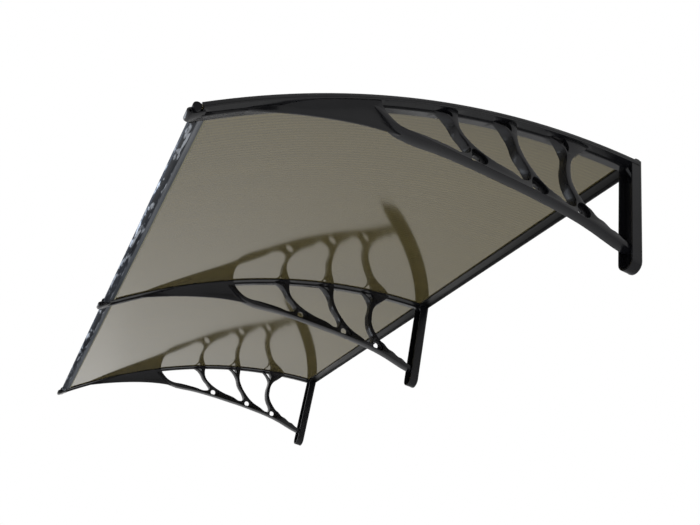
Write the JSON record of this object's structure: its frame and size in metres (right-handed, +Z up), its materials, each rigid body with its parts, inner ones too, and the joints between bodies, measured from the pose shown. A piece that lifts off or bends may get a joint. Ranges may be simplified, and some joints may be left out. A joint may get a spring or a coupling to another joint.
{
  "type": "door canopy",
  "caption": "Curved door canopy: twin-wall sheets clamped on moulded wall brackets with forked ribs, with front and rear rails.",
  "frame": {"origin": "on the back face of the middle bracket's leg, midway across it and between its two bolt holes", "axes": "+X along the wall towards the right-hand bracket, +Y into the wall, +Z up"},
  "size_m": [2.012, 1.0132, 0.3978],
  "materials": {
    "moulding": "satin black moulded plastic",
    "bronze_sheet": "glossy bronze twin-wall sheet",
    "cover_strip": "satin black",
    "front_rail": "mill finish extrusion",
    "gasket": "olive rubber",
    "rear_rail": "dark anodised extrusion",
    "seal": "matt black rubber",
    "plug": "black plastic",
    "screw": "blackened steel"
  },
  "bodies": {
    "root": {"bracket_right": "moulding", "bracket_middle": "moulding", "bracket_left": "moulding", "sheet_right": "bronze_sheet", "sheet_left": "bronze_sheet", "cover_strip_right": "cover_strip", "cover_strip_middle": "cover_strip", "cover_strip_left": "cover_strip", "front_rail_right": "front_rail", "front_rail_left": "front_rail", "front_gasket_right": "gasket", "front_gasket_left": "gasket", "rear_rail_right": "rear_rail", "rear_rail_left": "rear_rail", "wall_seal_right": "seal", "wall_seal_left": "seal", "tip_plug_right_a": "plug", "tip_plug_right_b": "plug", "tip_plug_middle_a": "plug", "tip_plug_middle_b": "plug", "tip_plug_left_a": "plug", "tip_plug_left_b": "plug", "strip_screw_right_1": "screw", "strip_screw_right_2": "screw", "strip_screw_right_3": "screw", "strip_screw_right_4": "screw", "strip_screw_right_5": "screw", "strip_screw_middle_1": "screw", "strip_screw_middle_2": "screw", "strip_screw_middle_3": "screw", "strip_screw_middle_4": "screw", "strip_screw_middle_5": "screw", "strip_screw_left_1": "screw", "strip_screw_left_2": "screw", "strip_screw_left_3": "screw", "strip_screw_left_4": "screw", "strip_screw_left_5": "screw"}
  },
  "joints": []
}
